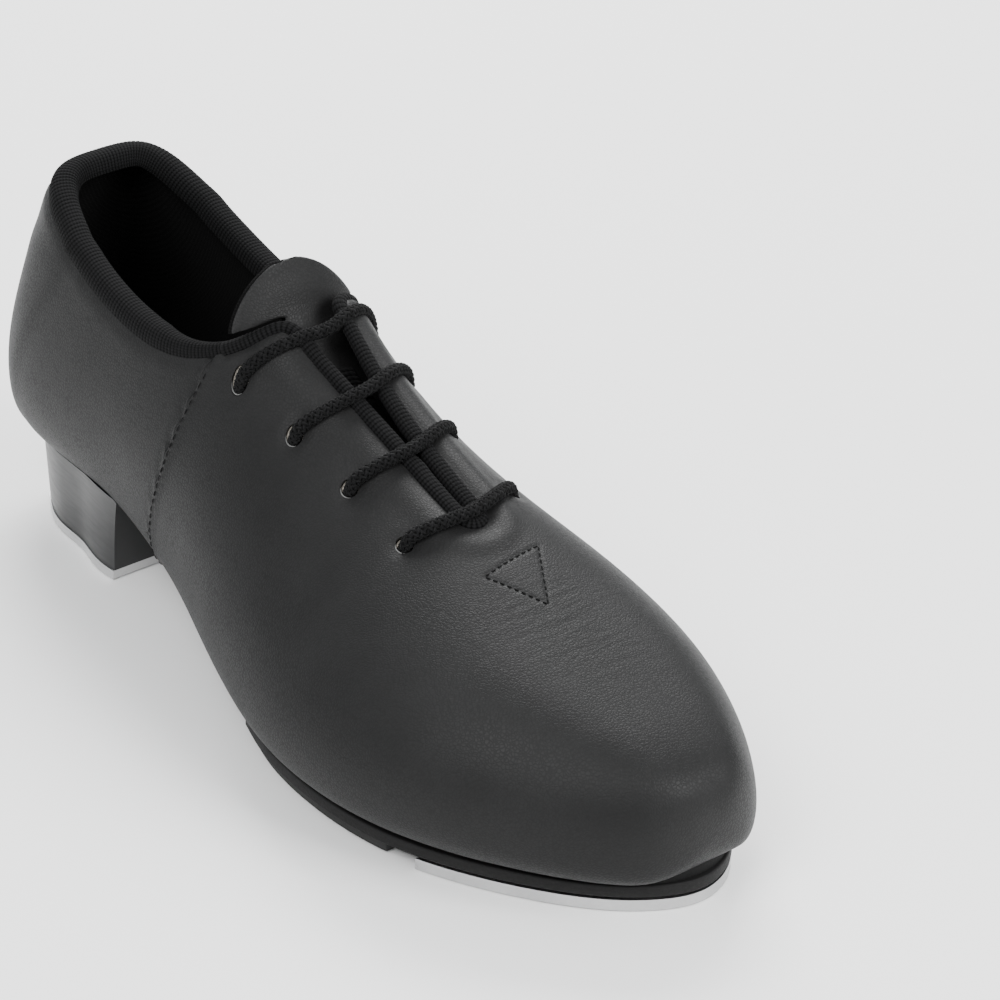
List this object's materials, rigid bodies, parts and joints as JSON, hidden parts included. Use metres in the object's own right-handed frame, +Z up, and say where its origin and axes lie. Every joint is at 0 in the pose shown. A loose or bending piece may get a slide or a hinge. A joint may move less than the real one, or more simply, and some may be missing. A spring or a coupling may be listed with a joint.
{
  "type": "tap shoe",
  "caption": "Black leather split-sole lace-up tap shoe with a low heel and aluminium toe and heel taps; it bends at the ball and in the arch.",
  "frame": {"origin": "middle of the bounding box's base, on the floor that the taps stand on", "axes": "+X points to the toe, +Y to the medial (inner) side of this right shoe, +Z up"},
  "size_m": [0.2566, 0.0932, 0.0975],
  "materials": {
    "upper_leather": "matte full-grain",
    "lining_fabric": "woven cotton",
    "stiffener_board": "pressed fibre",
    "padding_foam": "soft foam",
    "knit_binding": "ribbed knit",
    "lace_cord": "braided",
    "thread": "twisted",
    "insole_board": "pressed fibre",
    "sock_liner": "smooth",
    "sole_leather": "matte black",
    "pad_rubber": "fine ribs",
    "heel_stack": "satin black",
    "tap_aluminium": "brushed",
    "screw_steel": "plated"
  },
  "bodies": {
    "midfoot": {"vamp_instep": "upper_leather", "facing_stay": "stiffener_board", "instep_lining": "lining_fabric", "throat_binding": "knit_binding", "insole_ball": "insole_board", "sock_ball": "sock_liner", "outsole_ball": "sole_leather", "welt_ball": "sole_leather", "pad_rear": "pad_rubber", "tongue_body": "upper_leather", "tongue_body_lining": "lining_fabric", "lace_keeper": "knit_binding", "lace": "lace_cord"},
    "heel": {"quarter": "upper_leather", "heel_counter": "stiffener_board", "collar_padding": "padding_foam", "quarter_lining": "lining_fabric", "collar_binding": "knit_binding", "insole_heel": "insole_board", "sock_heel": "sock_liner", "heel_block": "heel_stack", "heel_tap": "tap_aluminium", "heel_tap_screws": "screw_steel", "heel_nails": "screw_steel"},
    "toe": {"vamp_toe": "upper_leather", "toe_puff": "stiffener_board", "toe_lining": "lining_fabric", "insole_toe": "insole_board", "sock_toe": "sock_liner", "outsole_toe": "sole_leather", "welt_toe": "sole_leather", "pad_front": "pad_rubber", "toe_tap": "tap_aluminium", "toe_tap_board": "insole_board", "toe_tap_screws": "screw_steel", "triangle_stitch": "thread"},
    "tongue": {"tongue_top": "upper_leather", "tongue_top_lining": "lining_fabric"}
  },
  "joints": [
    {"name": "ball_flex", "type": "hinge", "parent": "midfoot", "child": "toe", "pos_m": [0.05875, 0, 0.006], "axis": [0, -1, 0], "range_deg": [0, 25], "stiffness_Nm_per_rad": 0.9, "deforming": ["vamp_toe", "vamp_instep", "toe_lining", "instep_lining", "sock_toe", "sock_ball", "insole_toe", "insole_ball", "outsole_toe", "outsole_ball", "welt_toe", "welt_ball", "pad_front", "pad_rear", "triangle_stitch"]},
    {"name": "arch_flex", "type": "hinge", "parent": "midfoot", "child": "heel", "pos_m": [-0.05225, 0, 0.045], "axis": [0, -1, 0], "range_deg": [0, 18], "stiffness_Nm_per_rad": 0.7, "deforming": ["quarter", "quarter_lining", "collar_padding", "collar_binding", "sock_heel"]},
    {"name": "tongue_fold", "type": "hinge", "parent": "midfoot", "child": "tongue", "pos_m": [-0.02425, 0, 0.088], "axis": [0, 1, 0], "range_deg": [-8, 30], "stiffness_Nm_per_rad": 0.03}
  ]
}
